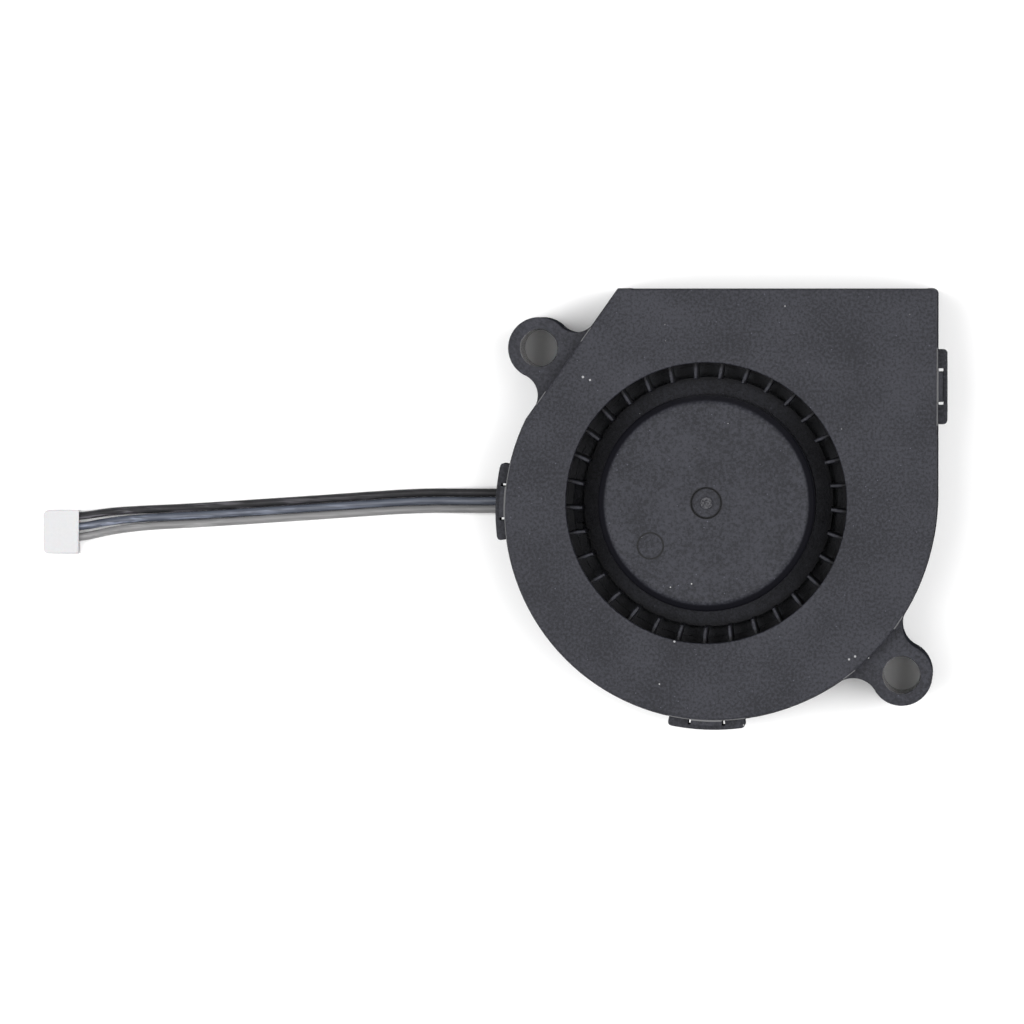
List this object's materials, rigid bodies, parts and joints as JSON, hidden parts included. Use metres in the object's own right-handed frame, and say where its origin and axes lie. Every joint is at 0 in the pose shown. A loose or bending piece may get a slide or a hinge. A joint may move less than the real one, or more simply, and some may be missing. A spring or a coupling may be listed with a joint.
{
  "type": "dc blower fan",
  "caption": "Flat radial blower: a scroll housing with a round inlet, a side outlet, two mounting ears, a bladed rotor on an outer rotor motor, and a short lead with a plug.",
  "frame": {"origin": "where the rotor axis meets the plane of the back face", "axes": "+Z along the rotor axis out of the inlet, +Y out of the outlet, leads towards -X"},
  "size_m": [0.1077, 0.0521, 0.015],
  "materials": {
    "housing_plastic": "moulded, fine grain",
    "cover_plastic": "moulded, fine grain",
    "rotor_plastic": "moulded, fine grain",
    "cap_plastic": "moulded",
    "wear_nylon": "smooth",
    "sintered_bronze": "sintered, oiled",
    "lamination_steel": "stacked sheet",
    "insulator_nylon": "moulded",
    "enamelled_copper": "enamelled wire",
    "tinned_metal": "tinned",
    "board_laminate": "solder mask",
    "chip_epoxy": "moulded",
    "chip_ceramic": "fired",
    "lead_insulation": "extruded",
    "label_film": "satin film, blank",
    "black_insulation": "extruded",
    "blue_grey_insulation": "extruded",
    "grey_insulation": "extruded",
    "plug_nylon": "moulded",
    "plated_steel": "zinc plated",
    "bonded_ferrite": "bonded",
    "bush_brass": "turned",
    "shaft_steel": "ground"
  },
  "bodies": {
    "housing": {"base_housing": "housing_plastic", "cover_plate": "cover_plastic", "bearing_cap": "cap_plastic", "thrust_pad": "wear_nylon", "sleeve_bearing": "sintered_bronze", "oil_ring": "wear_nylon", "stator_core": "lamination_steel", "insulator_lower": "insulator_nylon", "insulator_upper": "insulator_nylon", "coil_1": "enamelled_copper", "coil_2": "enamelled_copper", "coil_3": "enamelled_copper", "coil_4": "enamelled_copper", "terminal_pins": "tinned_metal", "circuit_board": "board_laminate", "hall_driver": "chip_epoxy", "chip_parts": "chip_ceramic", "solder_joints": "tinned_metal", "inner_leads": "lead_insulation", "rear_label": "label_film", "wire_black": "black_insulation", "wire_blue_grey": "blue_grey_insulation", "wire_grey": "grey_insulation", "plug_housing": "plug_nylon", "crimp_contacts": "tinned_metal"},
    "rotor": {"impeller": "rotor_plastic", "rotor_yoke": "plated_steel", "magnet_ring": "bonded_ferrite", "hub_bush": "bush_brass", "shaft": "shaft_steel", "retaining_ring": "plated_steel"}
  },
  "joints": [
    {"name": "rotor_spin", "type": "hinge", "parent": "housing", "child": "rotor", "pos_m": [0, 0, 0], "axis": [0, 0, 1], "continuous": true}
  ]
}
